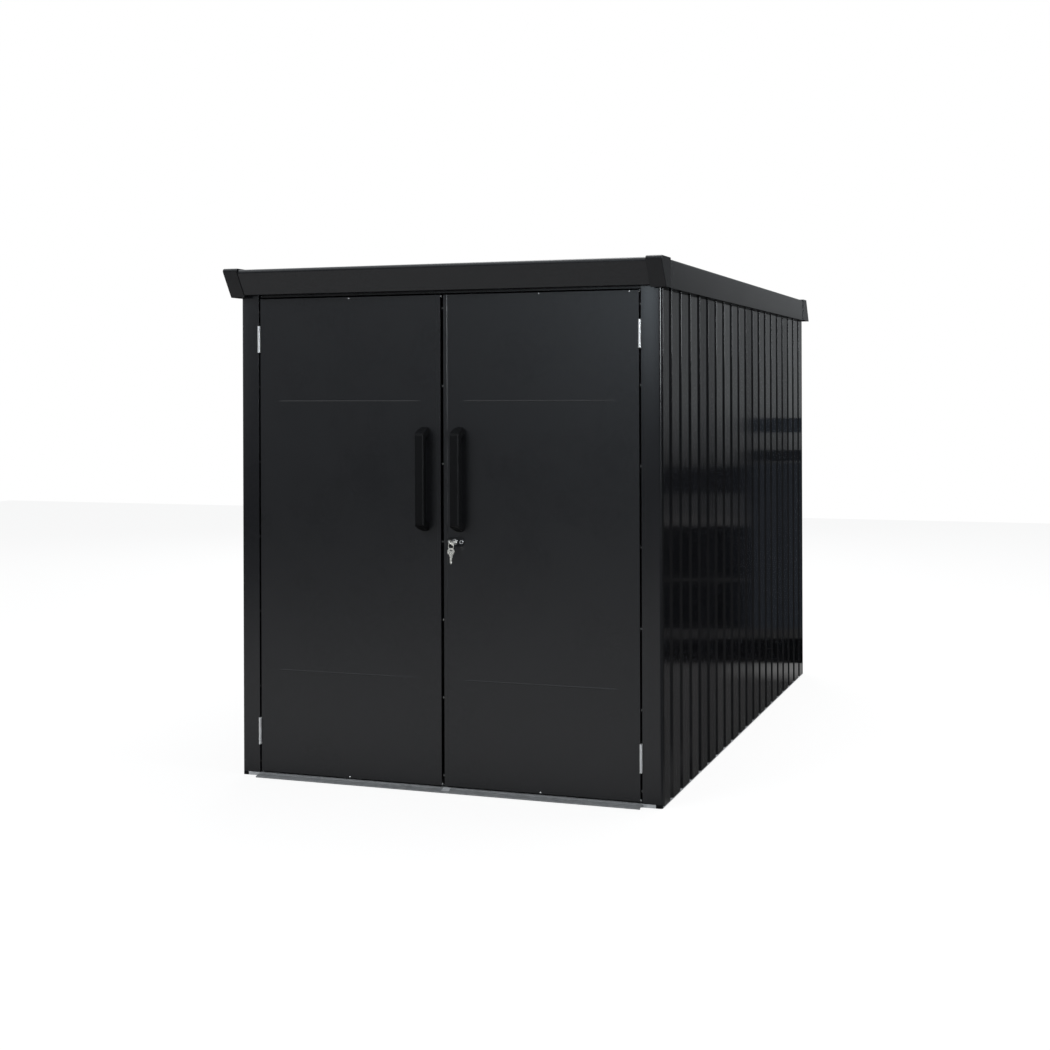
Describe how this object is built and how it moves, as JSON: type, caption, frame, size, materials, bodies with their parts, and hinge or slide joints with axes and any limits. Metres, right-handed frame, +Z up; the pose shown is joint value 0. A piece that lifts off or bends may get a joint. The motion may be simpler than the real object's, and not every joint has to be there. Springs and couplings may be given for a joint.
{
  "type": "bike shed",
  "caption": "Low steel shed for bicycles, with ribbed side and back walls, a flat trimmed roof and a pair of outward-opening doors with pull handles and a key lock.",
  "frame": {"origin": "on the ground, at the middle of the shed's bounding box in plan", "axes": "+Z up, the doors face -Y, +X to the right when facing the doors"},
  "size_m": [1.2928, 2.2958, 1.4595],
  "materials": {
    "satin_black_steel": "satin",
    "gloss_black_steel": "gloss",
    "galvanised_steel": "satin",
    "black_plastic": "matte",
    "zinc_hinges": "satin",
    "chrome_lock": "polished",
    "nickel_keys": "polished"
  },
  "bodies": {
    "shed": {"base_rail_front": "galvanised_steel", "base_rail_left": "galvanised_steel", "base_rail_right": "galvanised_steel", "base_rail_back": "galvanised_steel", "door_sill": "galvanised_steel", "corner_feet": "black_plastic", "front_post_left": "satin_black_steel", "front_post_right": "satin_black_steel", "back_post_left": "satin_black_steel", "back_post_right": "satin_black_steel", "wall_left": "gloss_black_steel", "wall_right": "gloss_black_steel", "wall_back": "gloss_black_steel", "head_rail": "satin_black_steel", "top_rail_left": "satin_black_steel", "top_rail_right": "satin_black_steel", "top_rail_back": "satin_black_steel", "roof_beams": "galvanised_steel", "roof_deck": "satin_black_steel", "trim_front": "satin_black_steel", "trim_left": "gloss_black_steel", "trim_right": "gloss_black_steel", "trim_back": "gloss_black_steel", "corner_cap_front_left": "black_plastic", "corner_cap_front_right": "black_plastic", "corner_cap_back_left": "black_plastic", "corner_cap_back_right": "black_plastic", "frame_hinges_left": "zinc_hinges", "frame_hinges_right": "zinc_hinges"},
    "left_door": {"left_door_skin": "satin_black_steel", "left_door_liner": "satin_black_steel", "left_door_hinges": "zinc_hinges", "left_door_handle": "black_plastic"},
    "right_door": {"right_door_skin": "satin_black_steel", "right_door_liner": "satin_black_steel", "right_door_hinges": "zinc_hinges", "right_door_handle": "black_plastic", "lock_plate": "black_plastic", "lock_barrel": "chrome_lock", "lock_cam": "zinc_hinges", "door_key": "nickel_keys", "key_ring": "nickel_keys", "spare_key": "nickel_keys"}
  },
  "joints": [
    {"name": "left_door_hinge", "type": "hinge", "parent": "shed", "child": "left_door", "pos_m": [-0.5675, -1.08123, 0.7], "axis": [0, 0, -1], "range_deg": [0, 180]},
    {"name": "right_door_hinge", "type": "hinge", "parent": "shed", "child": "right_door", "pos_m": [0.5675, -1.08123, 0.7], "axis": [0, 0, 1], "range_deg": [0, 180]}
  ]
}
